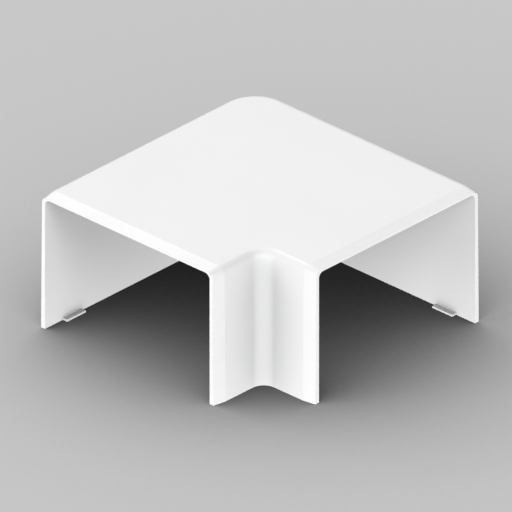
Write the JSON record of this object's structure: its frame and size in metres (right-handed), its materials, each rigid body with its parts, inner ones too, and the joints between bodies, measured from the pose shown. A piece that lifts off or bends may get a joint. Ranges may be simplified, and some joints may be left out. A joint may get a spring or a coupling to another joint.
{
  "type": "trunking elbow",
  "caption": "Flat right-angle elbow cover for rectangular cable trunking, open underneath and at both mouths, with bevelled mouth lips and snap lugs.",
  "frame": {"origin": "middle of the overall square in plan, in the plane of the base rim that lies against the wall", "axes": "+Z points away from the wall through the flat top, one mouth opens along +X and the other along -Y"},
  "size_m": [0.0848, 0.0848, 0.0412],
  "materials": {
    "cover_plastic": "smooth satin white moulding"
  },
  "bodies": {
    "root": {"elbow_cover": "cover_plastic"}
  },
  "joints": []
}
